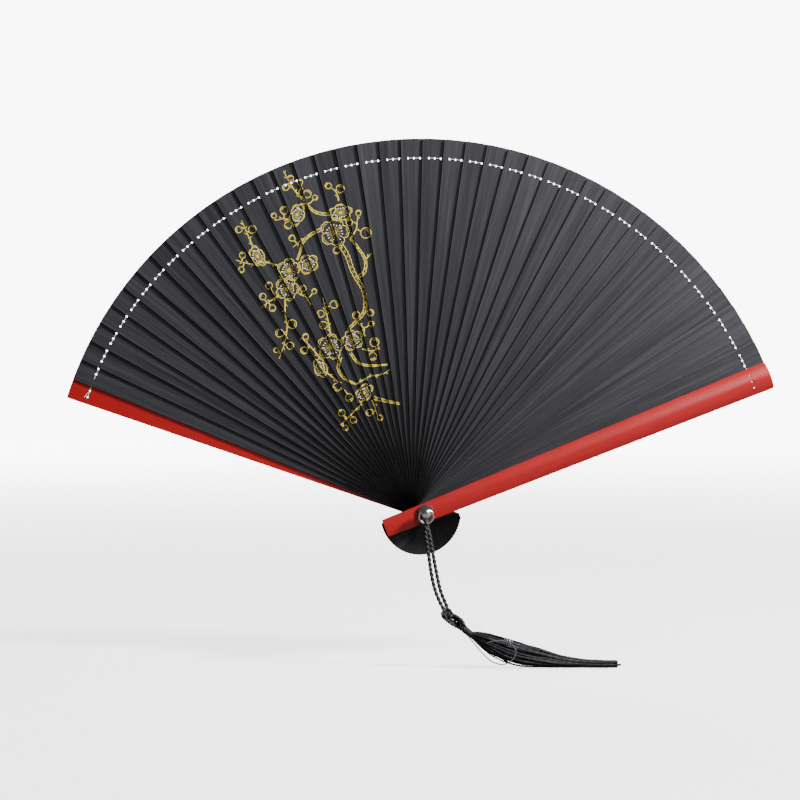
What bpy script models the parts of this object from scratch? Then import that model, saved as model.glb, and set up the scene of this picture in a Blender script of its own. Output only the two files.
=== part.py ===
"""Folding fan made of loose sticks, with a tassel on its pivot.

Forty-one thin black sticks lie between two thicker red guards, all on one
rivet.  The fan stands open and upright in the XZ plane, with its front
towards -Y and the origin at the middle of the rivet.  Every stick turns about
the Y axis through the origin.  Sticks are counted from the front guard, on
the right, to the back guard, on the left; each lies one layer further back
than the one before, and a thread through three small holes near the outer
ends of all of them limits how far they spread.
"""
import math

import bmesh
import bpy
from mathutils import Matrix, Vector

MM = 0.001

# ---- Driving dimensions --------------------------------------------------
RIB_COUNT = 41
FRONT_GUARD_ANGLE = 21.4            # degrees above +X, seen from the front
BACK_GUARD_ANGLE = 160.2
RIB_START = 22.06                   # the ribs lie at RIB_START + RIB_STEP * number degrees,
RIB_STEP = 3.302
UNEVENNESS = [(1, 0.35, -176), (2, 0.21, -57)]      # plus (waves, degrees, phase) sines

REACH = 188.6 * MM                  # pivot to the outer end of every stick
RIB_TAIL = 22.5 * MM                # pivot to the inner end
GUARD_TAIL = 21.5 * MM
RIB_WIDTH = 13.0 * MM               # at the outer end
GUARD_WIDTH = 14.0 * MM
TAIL_WIDTH = 8.8 * MM
CORNER = 1.0 * MM                   # rounding of the outer corners

RIB_THICKNESS = 0.5 * MM
GAP = 0.3 * MM                      # air between neighbouring pieces
RIB_PITCH = RIB_THICKNESS + GAP
GUARD_THICKNESS = 3.0 * MM
GUARD_CROWN_RADIUS = 12.0 * MM      # curve of a guard's outer face

STITCH_RADIUS = 178.7 * MM          # pivot to the row of thread holes
RIB_STITCH_SPACING = 3.0 * MM
GUARD_STITCH_SPACING = 3.25 * MM
STITCH_HOLE_R = 0.6 * MM
PIVOT_HOLE_R = 1.55 * MM
THREAD_R = 0.11 * MM

SHANK_R = 1.2 * MM
HEAD_R = 2.4 * MM
HEAD_HEIGHT = 1.5 * MM
WASHER_R = 4.1 * MM
WASHER_THICKNESS = 0.5 * MM
BURR_R = 2.8 * MM
RING_R = 3.5 * MM                   # centre line of the loose ring
RING_WIRE_R = 0.5 * MM

CORD_R = 0.85 * MM
KNOT_LENGTH = 15.2 * MM
KNOT_R = 3.6 * MM
NECK_LENGTH = 3.0 * MM
NECK_R = 1.9 * MM
LOOSE_STRAND_R = 0.35 * MM

# ---- Layers, front to back -----------------------------------------------
MIDDLE_RIB = (RIB_COUNT + 1) / 2
STACK_HALF = (RIB_COUNT - 1) / 2 * RIB_PITCH + RIB_THICKNESS / 2
GUARD_INNER_Y = STACK_HALF + GAP
GUARD_OUTER_Y = GUARD_INNER_Y + GUARD_THICKNESS
WASHER_Y = -(GUARD_OUTER_Y + GAP + WASHER_THICKNESS)        # its front face
RING_Y = WASHER_Y - 2 * CORD_R - RING_WIRE_R - 2 * GAP
HEAD_Y = RING_Y - RING_WIRE_R - GAP                         # underside of the head
RING_DROP = RING_R - RING_WIRE_R - SHANK_R - GAP

# The tassel hangs from the ring and runs off to the right along the ground.
# Every point below is (x, y, z) in millimetres.
FRONT_LEG_ROUTE = [(-0.4, -24.2, -9.5), (0.6, -23.9, -16.0), (2.2, -23.6, -28.0),
                   (4.3, -24.1, -38.0), (7.6, -25.6, -46.0)]
BACK_LEG_ROUTE = [(1.5, -22.2, -9.5), (2.7, -22.6, -16.0), (4.8, -23.2, -28.0),
                  (6.9, -24.4, -38.0), (9.8, -25.2, -45.6)]
KNOT_CENTRE = Vector((13.6, -26.0, -52.9)) * MM
TASSEL_DIRECTION = Vector((12.0, -0.9, -10.4)).normalized()
SKIRT_ROUTE = [(26.3, -28.0, -62.3), (31.2, -28.6, -64.6), (36.2, -29.2, -66.7),
               (41.1, -29.8, -68.3), (46.0, -30.3, -69.6), (50.9, -30.8, -70.6),
               (55.9, -31.2, -71.4), (65.8, -32.0, -73.1), (75.7, -32.8, -74.0),
               (85.5, -33.8, -74.3), (94.8, -34.6, -74.4)]
SKIRT_RADII = [2.1, 4.3, 5.7, 6.4, 6.6, 6.5, 5.8, 5.1, 3.4, 2.5, 2.3, 2.2]
LOOSE_STRAND_ROUTE = [(20.3, -30.5, -60.5), (25.5, -34.0, -67.0), (30.1, -37.0, -71.5),
                      (33.4, -38.3, -73.0), (36.3, -38.6, -73.4), (39.3, -38.6, -72.5),
                      (41.6, -38.4, -70.5), (42.8, -38.0, -67.9), (42.2, -37.6, -65.4),
                      (40.0, -37.2, -63.3), (36.1, -36.8, -62.1), (32.2, -36.2, -62.3),
                      (28.8, -35.4, -63.3)]


# ---- Scene and materials --------------------------------------------------
for old in list(bpy.data.objects):
    bpy.data.objects.remove(old, do_unlink=True)

fan = bpy.data.collections.new("folding_fan")
cutters = bpy.data.collections.new("fan_cutters")
bpy.context.scene.collection.children.link(fan)
bpy.context.scene.collection.children.link(cutters)


def make_material(name, colour, roughness, metallic=0.0):
    material = bpy.data.materials.new(name)
    material.use_nodes = True
    shader = material.node_tree.nodes["Principled BSDF"]
    shader.inputs["Base Color"].default_value = (*colour, 1.0)
    shader.inputs["Roughness"].default_value = roughness
    shader.inputs["Metallic"].default_value = metallic
    material.diffuse_color = (*colour, 1.0)
    return material


BLACK_WOOD = make_material("black_wood", (0.035, 0.036, 0.040), 0.5)
RED_LACQUER = make_material("red_lacquer", (0.52, 0.015, 0.020), 0.3)
NICKEL = make_material("nickel", (0.75, 0.73, 0.70), 0.2, 1.0)
BLACK_FIBRE = make_material("black_fibre", (0.012, 0.012, 0.013), 0.6)
WHITE_THREAD = make_material("white_thread", (0.85, 0.84, 0.80), 0.8)
BLACK_SILK = make_material("black_silk", (0.018, 0.019, 0.022), 0.45)


# ---- Helpers --------------------------------------------------------------
def add_part(name, mesh, material, matrix=None):
    part = bpy.data.objects.new(name, mesh)
    fan.objects.link(part)
    if not mesh.materials:
        mesh.materials.append(material)
    if matrix is not None:
        part.matrix_world = matrix
    return part


def mesh_from_curve(curve, name):
    """Turn a curve into a closed mesh with its caps welded on."""
    holder = bpy.data.objects.new(name, curve)
    cutters.objects.link(holder)
    depsgraph = bpy.context.evaluated_depsgraph_get()
    mesh = bpy.data.meshes.new_from_object(holder.evaluated_get(depsgraph))
    bpy.data.objects.remove(holder)
    mesh.name = name
    shape = bmesh.new()
    shape.from_mesh(mesh)
    bmesh.ops.remove_doubles(shape, verts=shape.verts, dist=1e-6)
    bmesh.ops.recalc_face_normals(shape, faces=shape.faces)
    shape.to_mesh(mesh)
    shape.free()
    mesh.materials.clear()
    return mesh


def smooth(mesh, sharp_angle=35):
    mesh.shade_smooth()
    mesh.set_sharp_from_angle(angle=math.radians(sharp_angle))


def add_closed_spline(curve, points):
    spline = curve.splines.new("POLY")
    spline.points.add(len(points) - 1)
    for slot, (x, y) in zip(spline.points, points):
        slot.co = (x, y, 0, 1)
    spline.use_cyclic_u = True


def arc(centre_x, centre_y, radius, start, end, steps):
    """Points on an arc in the XY plane, angles in degrees."""
    points = []
    for i in range(steps + 1):
        angle = math.radians(start + (end - start) * i / steps)
        points.append((centre_x + radius * math.cos(angle), centre_y + radius * math.sin(angle)))
    return points


def circle(centre_x, centre_y, radius, sides):
    return arc(centre_x, centre_y, radius, 0, 360 - 360 / sides, sides - 1)


def stick_outline(outer_width, tail, round_tail):
    """Outline of a stick lying along +X with the pivot at the origin."""
    corner_x = REACH - CORNER
    half = (TAIL_WIDTH + (outer_width - TAIL_WIDTH) * (corner_x + tail) / (REACH + tail)) / 2
    spread = math.degrees(math.asin((half - CORNER) / corner_x))
    lower = arc(corner_x - 0.0001, -(half - CORNER), CORNER, -90, -10, 2)
    end = arc(0, 0, REACH, -spread * 0.7, spread * 0.7, 2)
    upper = [(x, -y) for x, y in reversed(lower)]
    if round_tail:
        tail_spread = math.degrees(math.asin(TAIL_WIDTH / 2 / tail))
        inner = arc(0, 0, tail, 180 - tail_spread, 180 + tail_spread, 3)
    else:
        inner = [(-tail, TAIL_WIDTH / 2), (-tail, -TAIL_WIDTH / 2)]
    return lower + end + upper + inner


def stick_curve(name, outline, thickness, spacing):
    """A flat stick with its pivot hole and its three thread holes."""
    curve = bpy.data.curves.new(name, "CURVE")
    curve.dimensions = "2D"
    curve.fill_mode = "BOTH"
    curve.extrude = thickness / 2
    add_closed_spline(curve, outline)
    add_closed_spline(curve, circle(0, 0, PIVOT_HOLE_R, 8))
    for side in (-1, 0, 1):
        add_closed_spline(curve, circle(STITCH_RADIUS, side * spacing, STITCH_HOLE_R, 6))
    return curve


def stick_angle(index):
    """Direction of stick number `index` in radians; hand-spread ribs are a little uneven."""
    if index == 0:
        return math.radians(FRONT_GUARD_ANGLE)
    if index > RIB_COUNT:
        return math.radians(BACK_GUARD_ANGLE)
    angle = RIB_START + RIB_STEP * index
    for waves, size, phase in UNEVENNESS:
        angle += size * math.sin(math.radians(360 * waves * index / (RIB_COUNT + 1) + phase))
    return math.radians(angle)


def stick_matrix(index, y):
    """Place of stick number `index`: its +X runs outwards and its +Z to the front."""
    angle = stick_angle(index)
    turn = Matrix.Rotation(-angle, 4, "Y") @ Matrix.Rotation(math.radians(90), 4, "X")
    return Matrix.Translation((0, y, 0)) @ turn


def layer_y(index):
    """Middle of the layer of rib number `index`."""
    return (index - MIDDLE_RIB) * RIB_PITCH


def turned(name, profile, material, y, steps=20):
    """A turned piece on the pivot axis; profile is (radius, distance to the front)."""
    mesh = bpy.data.meshes.new(name)
    edges = [(i, i + 1) for i in range(len(profile) - 1)]
    mesh.from_pydata([(r, 0, z) for r, z in profile], edges, [])
    part = add_part(name, mesh, material)
    part.matrix_world = Matrix.Translation((0, y, 0)) @ Matrix.Rotation(math.radians(90), 4, "X")
    screw = part.modifiers.new("turn", "SCREW")
    screw.axis = "Z"
    screw.angle = math.radians(360)
    screw.steps = steps
    screw.render_steps = steps
    screw.use_merge_vertices = True
    screw.merge_threshold = 0.00001
    screw.use_smooth_shade = True
    return part


def smooth_route(points, spacing):
    """Points about `spacing` apart on a smooth curve through the given points."""
    padded = [2 * points[0] - points[1], *points, 2 * points[-1] - points[-2]]
    result = [points[0]]
    for i in range(1, len(padded) - 2):
        a, b, c, d = padded[i - 1:i + 3]
        steps = max(1, round((c - b).length / spacing))
        for step in range(1, steps + 1):
            t = step / steps
            result.append(0.5 * (2 * b + (c - a) * t + (2 * a - 5 * b + 4 * c - d) * t * t
                                 + (3 * b - a - 3 * c + d) * t * t * t))
    return result


def tube(name, points, radius, material, radii=None):
    """A capped round tube through points; radii may scale it point by point."""
    curve = bpy.data.curves.new(name, "CURVE")
    curve.dimensions = "3D"
    curve.bevel_depth = radius
    curve.bevel_resolution = 2
    curve.use_fill_caps = True
    spline = curve.splines.new("POLY")
    spline.points.add(len(points) - 1)
    for i, point in enumerate(points):
        spline.points[i].co = (*point, 1)
        spline.points[i].radius = radii[i] if radii else 1.0
    mesh = mesh_from_curve(curve, name)
    smooth(mesh, 50)
    return add_part(name, mesh, material)


def along(direction):
    """Rotation that turns +Z into the given direction."""
    return direction.to_track_quat("Z", "Y").to_matrix().to_4x4()


# ---- The forty-one ribs ----------------------------------------------------
rib_outline = stick_outline(RIB_WIDTH, RIB_TAIL, True)
rib_mesh = mesh_from_curve(
    stick_curve("rib_outline", rib_outline, RIB_THICKNESS, RIB_STITCH_SPACING), "rib")
for number in range(1, RIB_COUNT + 1):
    add_part(f"rib_{number:02d}", rib_mesh, BLACK_WOOD, stick_matrix(number, layer_y(number)))


# ---- The two guards: thicker sticks with a rounded outer face --------------
guard_outline = stick_outline(GUARD_WIDTH, GUARD_TAIL, False)
guard_mesh = mesh_from_curve(
    stick_curve("guard_outline", guard_outline, GUARD_THICKNESS, GUARD_STITCH_SPACING), "guard")
guard_mesh.transform(Matrix.Translation((0, 0, GUARD_THICKNESS / 2)))

bpy.ops.mesh.primitive_cylinder_add(
    vertices=44, radius=GUARD_CROWN_RADIUS, depth=2 * (REACH + GUARD_TAIL),
    location=(0, 0, GUARD_THICKNESS - GUARD_CROWN_RADIUS), rotation=(0, math.radians(90), 0))
crown = bpy.context.object
crown.name = "guard_crown"
crown.hide_render = True
crown.display_type = "WIRE"
for holder in list(crown.users_collection):
    holder.objects.unlink(crown)
cutters.objects.link(crown)

uncut = bpy.data.objects.new("guard_uncut", guard_mesh)
cutters.objects.link(uncut)
rounding = uncut.modifiers.new("crown", "BOOLEAN")
rounding.operation = "INTERSECT"
rounding.object = crown
rounding.solver = "EXACT"
bpy.context.view_layer.update()
crowned_mesh = bpy.data.meshes.new_from_object(
    uncut.evaluated_get(bpy.context.evaluated_depsgraph_get()))
crowned_mesh.name = "guard_crowned"
crowned_mesh.materials.clear()
bpy.data.objects.remove(uncut)
smooth(crowned_mesh, 25)

add_part("guard_front", crowned_mesh, RED_LACQUER, stick_matrix(0, -GUARD_INNER_Y))
turn_over = Matrix.Rotation(math.radians(180), 4, "X")
add_part("guard_back", crowned_mesh, RED_LACQUER,
         stick_matrix(RIB_COUNT + 1, GUARD_INNER_Y) @ turn_over)


# ---- Rivet, washer, burr and loose ring on the pivot -----------------------
shank_back = -(GUARD_OUTER_Y + GAP + WASHER_THICKNESS + 0.2 * MM)
head = arc(0, 0, 1, 90, 0, 5)
rivet_profile = [(HEAD_R * x, -HEAD_Y + HEAD_HEIGHT * y) for x, y in head]
rivet_profile[0] = (0, -HEAD_Y + HEAD_HEIGHT)
rivet_profile += [(SHANK_R, -HEAD_Y), (SHANK_R, shank_back), (0, shank_back)]
turned("pivot_rivet", rivet_profile, NICKEL, 0)

bore = PIVOT_HOLE_R
turned("washer_front",
       [(bore, 0), (bore, WASHER_THICKNESS), (WASHER_R - 0.15 * MM, WASHER_THICKNESS),
        (WASHER_R, WASHER_THICKNESS / 2), (WASHER_R, 0), (bore, 0)],
       BLACK_FIBRE, WASHER_Y + WASHER_THICKNESS, 24)

burr_y = GUARD_OUTER_Y + GAP
turned("rivet_burr",
       [(bore, -WASHER_THICKNESS), (bore, 0), (BURR_R, 0), (BURR_R, -WASHER_THICKNESS / 2),
        (BURR_R - 0.5 * MM, -WASHER_THICKNESS - 0.3 * MM), (bore, -WASHER_THICKNESS)],
       NICKEL, burr_y)

bpy.ops.mesh.primitive_torus_add(
    major_radius=RING_R, minor_radius=RING_WIRE_R, major_segments=28, minor_segments=8,
    location=(0, RING_Y, -RING_DROP), rotation=(math.radians(90), 0, 0))
ring = bpy.context.object
ring.name = "pivot_ring"
ring.data.shade_smooth()
ring.data.materials.append(NICKEL)
for holder in list(ring.users_collection):
    holder.objects.unlink(ring)
fan.objects.link(ring)


# ---- Binding thread: in the layers between the sticks, through every left hole
def on_stick(index, across, y):
    """A point on the row of holes of one stick; `across` is positive to the left."""
    angle = stick_angle(index)
    outwards = Vector((math.cos(angle), 0, math.sin(angle)))
    leftwards = Vector((-math.sin(angle), 0, math.cos(angle)))
    return outwards * STITCH_RADIUS + leftwards * across + Vector((0, y, 0))


before_hole = RIB_STITCH_SPACING - 0.35 * MM
after_hole = RIB_STITCH_SPACING + 0.35 * MM
thread = [on_stick(0, GUARD_STITCH_SPACING - 0.1 * MM, -GUARD_INNER_Y - 1.2 * MM),
          on_stick(0, GUARD_STITCH_SPACING + 0.2 * MM, layer_y(1) - RIB_PITCH / 2)]
for number in range(1, RIB_COUNT + 1):
    thread.append(on_stick(number, before_hole, layer_y(number) - RIB_PITCH / 2))
    thread.append(on_stick(number, after_hole, layer_y(number) + RIB_PITCH / 2))
thread.append(on_stick(RIB_COUNT + 1, GUARD_STITCH_SPACING - 0.3 * MM,
                       layer_y(RIB_COUNT) + RIB_PITCH / 2))
thread.append(on_stick(RIB_COUNT + 1, GUARD_STITCH_SPACING + 0.1 * MM,
                       GUARD_INNER_Y + 1.2 * MM))
tube("binding_thread", thread, THREAD_R, WHITE_THREAD)


# ---- Tassel -----------------------------------------------------------------
def in_metres(points):
    return [Vector(point) * MM for point in points]


def cord_over_ring(side):
    """A quarter of a turn from the top of the cord's bend, to the front (-1) or the back."""
    bend = RING_WIRE_R + GAP + CORD_R
    foot = -RING_DROP - RING_R
    points = []
    for degrees in (12, 45, 80):
        angle = math.radians(degrees)
        points.append(Vector((side * 0.1 * MM, RING_Y + side * bend * math.sin(angle),
                              foot + bend * math.cos(angle))))
    return points


front_leg = smooth_route(cord_over_ring(-1) + in_metres(FRONT_LEG_ROUTE), 2.8 * MM)
back_leg = smooth_route(cord_over_ring(1) + in_metres(BACK_LEG_ROUTE), 2.8 * MM)
tube("tassel_cord_front", front_leg, CORD_R, BLACK_SILK)
tube("tassel_cord_back", back_leg, CORD_R, BLACK_SILK)

bpy.ops.mesh.primitive_uv_sphere_add(segments=12, ring_count=8, radius=1.0)
knot = bpy.context.object
knot.name = "tassel_knot"
knot.data.transform(Matrix.Diagonal((KNOT_R, KNOT_R, KNOT_LENGTH / 2, 1)))
knot.data.shade_smooth()
knot.data.materials.append(BLACK_SILK)
knot.matrix_world = Matrix.Translation(KNOT_CENTRE) @ along(TASSEL_DIRECTION)
for holder in list(knot.users_collection):
    holder.objects.unlink(knot)
fan.objects.link(knot)

neck_start = KNOT_CENTRE + TASSEL_DIRECTION * (KNOT_LENGTH / 2 + GAP)
neck_end = neck_start + TASSEL_DIRECTION * NECK_LENGTH
tube("tassel_neck", [neck_start, neck_end], NECK_R, BLACK_SILK)

skirt_route = [neck_end + TASSEL_DIRECTION * 3 * GAP] + in_metres(SKIRT_ROUTE)
tube("tassel_skirt", skirt_route, 1.0 * MM, BLACK_SILK, SKIRT_RADII)

strand = smooth_route(in_metres(LOOSE_STRAND_ROUTE), 1.5 * MM)
tube("tassel_loose_strand", strand, LOOSE_STRAND_R, BLACK_SILK)
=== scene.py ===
"""Looks of the folding fan: fine sticks, binding thread, printed plum spray, rivet and tassel.

The CAD model gives every place and size.  Lengths are in metres in the row frame: the fan
stands open in the XZ plane, its front is towards -Y and the rivet is at the origin.
"""
import math
import random

import bmesh
import bpy
from mathutils import Matrix, Vector


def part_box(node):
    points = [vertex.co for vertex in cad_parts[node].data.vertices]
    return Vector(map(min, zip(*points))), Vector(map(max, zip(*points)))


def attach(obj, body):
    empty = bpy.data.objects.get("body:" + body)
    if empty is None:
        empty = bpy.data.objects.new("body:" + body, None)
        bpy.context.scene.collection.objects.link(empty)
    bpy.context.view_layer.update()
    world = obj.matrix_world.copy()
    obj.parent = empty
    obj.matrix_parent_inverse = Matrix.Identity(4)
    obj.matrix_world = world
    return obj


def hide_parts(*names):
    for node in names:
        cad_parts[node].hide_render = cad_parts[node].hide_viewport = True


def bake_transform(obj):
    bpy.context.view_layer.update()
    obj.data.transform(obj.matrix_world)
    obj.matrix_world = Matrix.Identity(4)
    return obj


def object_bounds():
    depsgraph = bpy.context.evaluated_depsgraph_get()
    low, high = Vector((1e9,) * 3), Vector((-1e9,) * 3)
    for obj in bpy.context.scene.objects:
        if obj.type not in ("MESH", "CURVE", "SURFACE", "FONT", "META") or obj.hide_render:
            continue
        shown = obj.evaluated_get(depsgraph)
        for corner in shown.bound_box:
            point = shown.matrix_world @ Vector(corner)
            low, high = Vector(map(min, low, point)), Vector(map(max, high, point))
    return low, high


MM = 0.001
TURN = 2 * math.pi
FACE_FRONT = Matrix.Rotation(math.radians(90), 4, "X")  # turns +Z to the front
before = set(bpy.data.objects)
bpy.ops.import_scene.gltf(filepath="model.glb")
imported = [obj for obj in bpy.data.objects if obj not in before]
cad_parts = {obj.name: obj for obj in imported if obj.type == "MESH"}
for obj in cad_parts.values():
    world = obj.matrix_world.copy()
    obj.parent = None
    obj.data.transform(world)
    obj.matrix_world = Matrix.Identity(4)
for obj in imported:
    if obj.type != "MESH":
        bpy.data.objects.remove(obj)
cad_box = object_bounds()

# ---- The fan's own measures, the same as in the CAD model ----
RIBS = 41
FRONT_GUARD_ANGLE = 21.4
BACK_GUARD_ANGLE = 160.2
RIB_START = 22.06
RIB_STEP = 3.302
UNEVENNESS = [(1, 0.35, -176), (2, 0.21, -57)]
REACH = 188.6 * MM
RIB_TAIL = 22.5 * MM
GUARD_TAIL = 21.5 * MM
RIB_WIDTH = 13.0 * MM
GUARD_WIDTH = 14.0 * MM
TAIL_WIDTH = 8.8 * MM
CORNER = 1.0 * MM                   # radius at the outer end
TAIL_CORNER = 0.5 * MM              # and at a guard's tail
RIB_THICKNESS = 0.5 * MM
PITCH = 0.8 * MM
GUARD_THICKNESS = 3.0 * MM
CROWN_RADIUS = 12.0 * MM
STITCH_RADIUS = 178.7 * MM
RIB_STITCH_SPACING = 3.0 * MM
GUARD_STITCH_SPACING = 3.25 * MM
STITCH_HOLE_R = 0.5 * MM            # inside the bevelled rim
PIVOT_HOLE_R = 1.55 * MM
GUARD_INNER_Y = -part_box("guard_front")[1][1]
ROOT = "front_guard"


def body_name(index):
    """Body of stick number `index`, counted from the front guard."""
    if index == 0:
        return ROOT
    return "back_guard" if index == RIBS + 1 else f"rib_{index:02d}_body"


def layer_y(index):
    """Middle of a stick's layer."""
    return (index - (RIBS + 1) / 2) * PITCH


def half_width(x, outer_width=RIB_WIDTH, tail=RIB_TAIL):
    """Half a stick's width at a distance x outwards from the pivot."""
    return (TAIL_WIDTH + (outer_width - TAIL_WIDTH) * (x + tail) / (REACH + tail)) / 2


# ---- Materials ----
HIGHLIGHT_WIDTH = 0.45 * MM            # painted highlight: lighter strip along a rib's long edges
HIGHLIGHT_GAIN = 0.9                   # how much lighter the painted highlight's outer line is
SIDE_SHADE = 0.3                     # painted shade: tone of a rib's narrow sides beside its flat faces
PIVOT_SHADE, END_LIGHT = 0.66, 1.40    # painted shade at the pivot and painted light at the outer end
WHITE = (1.0, 1.0, 1.0, 1.0)


def new_material(name):
    material = bpy.data.materials.new(name)
    material.use_nodes = True
    return material, material.node_tree, material.node_tree.nodes["Principled BSDF"]


def feed(tree, node, inputs):
    """Sets a node's inputs to plain values or links them to outputs."""
    for name, value in inputs.items():
        if isinstance(value, bpy.types.NodeSocket):
            tree.links.new(value, node.inputs[name])
        else:
            node.inputs[name].default_value = value


def add_node(tree, kind, inputs, **settings):
    node = tree.nodes.new("ShaderNode" + kind)
    for name, value in settings.items():
        setattr(node, name, value)
    feed(tree, node, inputs)
    return node


def mapped(tree, scale=(1.0, 1.0, 1.0)):
    """Object coordinates stretched by scale."""
    place = add_node(tree, "TexCoord", {}).outputs["Object"]
    return add_node(tree, "Mapping", {"Vector": place, "Scale": scale}).outputs["Vector"]


def noise(tree, vector, scale, detail, roughness):
    return add_node(tree, "TexNoise", {"Vector": vector, "Scale": scale, "Detail": detail,
                                       "Roughness": roughness}).outputs["Fac"]


def ramp(tree, factor, stops):
    """A colour ramp with (position, colour) stops."""
    node = add_node(tree, "ValToRGB", {"Fac": factor})
    for i, (position, colour) in enumerate(stops):
        stop = node.color_ramp.elements[i] if i < 2 else node.color_ramp.elements.new(position)
        stop.position = position
        stop.color = (*colour, 1.0)
    return node.outputs["Color"]


def remap(tree, factor, low, high, start=0.0, end=1.0, interpolation="LINEAR"):
    """Low to high as the factor goes from start to end."""
    return add_node(tree, "MapRange", {"Value": factor, "From Min": start, "From Max": end,
                                       "To Min": low, "To Max": high},
                    interpolation_type=interpolation).outputs["Result"]


def bump(tree, height, strength, distance):
    return add_node(tree, "Bump", {"Height": height, "Strength": strength,
                                   "Distance": distance}).outputs["Normal"]


def math_node(tree, operation, *values):
    """A sum on sockets or numbers."""
    return add_node(tree, "Math", dict(enumerate(values)), operation=operation).outputs[0]


def mix(tree, blend_type, factor, first, second):
    """Two colours blended."""
    return add_node(tree, "Mix", {"Factor": factor, "A": first, "B": second},
                    data_type="RGBA", blend_type=blend_type).outputs["Result"]


def painted_light_and_shade(tree, tone):
    """The tone raised along a rib's long edges as a painted highlight, lowered towards its tail
    as painted shade and raised towards its outer end as painted light.

    The narrow sides get painted shade: a darker tone against the light that falls on them.
    """
    place = add_node(tree, "TexCoord", {})
    split = add_node(tree, "SeparateXYZ", {0: place.outputs["Object"]})
    facing = add_node(tree, "SeparateXYZ", {0: place.outputs["Normal"]})
    slope = (half_width(REACH) - half_width(0)) / REACH
    edge = math_node(tree, "MULTIPLY_ADD", split.outputs["X"], slope, half_width(0))
    inside = math_node(tree, "SUBTRACT", edge, math_node(tree, "ABSOLUTE", split.outputs["Y"]))
    # painted highlight: a lighter band along each long edge
    band = remap(tree, inside, HIGHLIGHT_GAIN, 0.0, end=HIGHLIGHT_WIDTH)
    flat = math_node(tree, "ABSOLUTE", facing.outputs["Z"])
    # painted shade: the narrow sides darker than the flat faces
    lit_and_shaded = math_node(tree, "MULTIPLY_ADD", band, flat, SIDE_SHADE)
    lit_and_shaded = math_node(tree, "MULTIPLY_ADD", flat, 1 - SIDE_SHADE, lit_and_shaded)
    # painted shade towards the pivot, painted light towards the outer end
    painted_falloff = remap(tree, split.outputs["X"], PIVOT_SHADE, END_LIGHT, end=REACH)
    return math_node(tree, "MULTIPLY", math_node(tree, "MULTIPLY", tone, lit_and_shaded), painted_falloff)


def black_wood():
    """Dyed wood: charcoal with fine lengthwise pores, each stick a little different."""
    material, tree, shader = new_material("black_wood")
    each = add_node(tree, "ObjectInfo", {}).outputs["Random"]
    place = add_node(tree, "VectorMath", {0: mapped(tree, (0.02, 1.0, 1.0)), 1: each},
                     operation="ADD").outputs[0]
    fine = noise(tree, place, scale=1700.0, detail=6.0, roughness=0.72)
    broad = noise(tree, place, scale=380.0, detail=3.0, roughness=0.5)
    grain = math_node(tree, "MULTIPLY_ADD", fine, 0.55, math_node(tree, "MULTIPLY", broad, 0.45))
    tint = ramp(tree, grain, [(0.34, (0.007, 0.007, 0.0085)), (0.66, (0.031, 0.031, 0.036)),
                              (0.50, (0.017, 0.017, 0.020))])
    # each stick's tone, with a painted highlight along its edges and painted shade on its sides
    # and towards its tail
    tone = painted_light_and_shade(tree, remap(tree, each, 0.88, 1.14))
    feed(tree, shader, {"Base Color": mix(tree, "MULTIPLY", 1.0, tint, tone),
                        "Roughness": remap(tree, fine, 0.42, 0.62), "Specular IOR Level": 0.22,
                        "Normal": bump(tree, grain, strength=0.35, distance=0.12 * MM)})
    return material


def red_lacquer():
    """Red lacquer over wood, with the grain just showing through."""
    material, tree, shader = new_material("red_lacquer")
    lengthwise = mapped(tree, (0.05, 1.0, 1.0))
    grain = noise(tree, lengthwise, scale=1500.0, detail=4.0, roughness=0.6)
    cloud = noise(tree, mapped(tree), scale=60.0, detail=3.0, roughness=0.5)
    tint = ramp(tree, grain, [(0.30, (0.27, 0.0015, 0.003)), (0.70, (0.34, 0.002, 0.004))])
    feed(tree, shader, {"Base Color": tint, "Roughness": remap(tree, cloud, 0.30, 0.44),
                        "Specular IOR Level": 0.35, "Coat Weight": 0.7, "Coat Roughness": 0.30,
                        "Normal": bump(tree, grain, strength=0.10, distance=0.08 * MM)})
    return material


def mottled(name, grain, stops, roughness, relief=None, metallic=0.0, specular=0.5):
    """A material whose colour, roughness and relief follow one noise.

    grain is the noise's scale, detail and roughness, stops are the ramp's, roughness is a
    (low, high) range and relief a bump's (strength, distance).
    """
    material, tree, shader = new_material(name)
    pattern = noise(tree, mapped(tree), *grain)
    feed(tree, shader, {"Base Color": ramp(tree, pattern, stops), "Metallic": metallic,
                        "Roughness": remap(tree, pattern, *roughness),
                        "Specular IOR Level": specular})
    if relief:
        feed(tree, shader, {"Normal": bump(tree, pattern, *relief)})
    return material


def nickel():
    """Polished nickel, faintly cloudy."""
    return mottled("nickel", grain=(900.0, 3.0, 0.5),
                   stops=[(0.3, (0.80, 0.77, 0.71)), (0.7, (0.93, 0.91, 0.87))],
                   roughness=(0.13, 0.28), relief=(0.12, 0.10 * MM), metallic=1.0)


def black_fibre():
    """Pressed black fibre of the washer."""
    return mottled("black_fibre", grain=(3000.0, 4.0, 0.7),
                   stops=[(0.3, (0.006, 0.006, 0.007)), (0.7, (0.018, 0.018, 0.020))],
                   roughness=(0.45, 0.70), relief=(0.3, 0.10 * MM))


def white_thread():
    """Matt cotton thread."""
    return mottled("white_thread", grain=(9000.0, 3.0, 0.6),
                   stops=[(0.3, (0.72, 0.71, 0.68)), (0.7, (0.92, 0.92, 0.90))],
                   roughness=(0.7, 0.9), relief=(0.4, 0.06 * MM))


def black_silk(dark, light):
    """Black silk cord: dark, with fibres that catch the light."""
    return mottled("black_silk", grain=(5200.0, 3.0, 0.6), stops=[(0.30, dark), (0.72, light)],
                   roughness=(0.52, 0.75), relief=(0.5, 0.08 * MM), specular=0.28)


def foil(name, dark, light, metallic):
    """Printed foil, slightly worn."""
    return mottled(name, grain=(1400.0, 4.0, 0.7), stops=[(0.32, dark), (0.60, light)],
                   roughness=(0.34, 0.55), metallic=metallic)


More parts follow.
